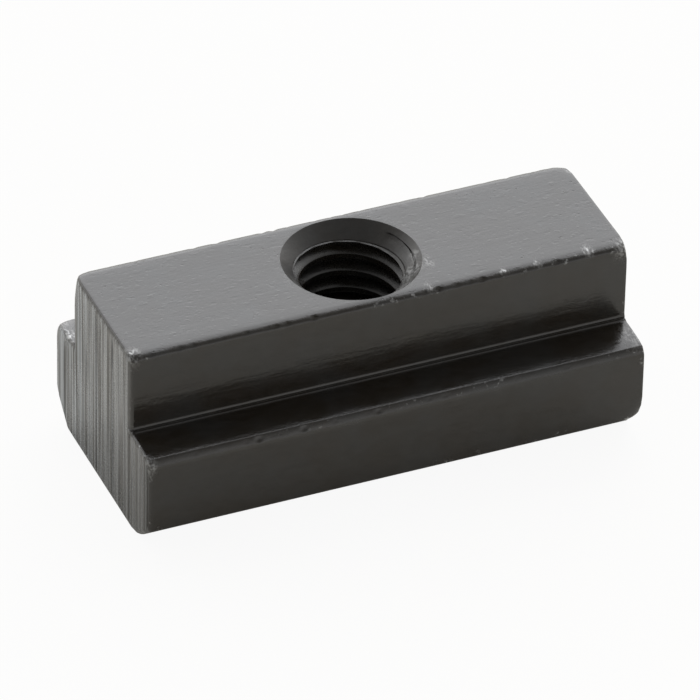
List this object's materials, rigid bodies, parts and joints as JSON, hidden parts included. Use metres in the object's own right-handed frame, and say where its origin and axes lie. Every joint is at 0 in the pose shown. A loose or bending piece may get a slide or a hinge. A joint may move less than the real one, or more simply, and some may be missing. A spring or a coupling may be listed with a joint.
{
  "type": "t slot nut",
  "caption": "Long T-section nut that slides along a machine table's T-slot, with a countersunk threaded through hole in its stem.",
  "frame": {"origin": "centre of the underside, in line with the thread", "axes": "+X along the slot, +Y across it, +Z along the thread from the flange to the top of the stem"},
  "size_m": [0.026, 0.0126, 0.01],
  "materials": {
    "black_oxide_steel": "black oxide, satin"
  },
  "bodies": {
    "root": {"t_slot_nut": "black_oxide_steel"}
  },
  "joints": []
}
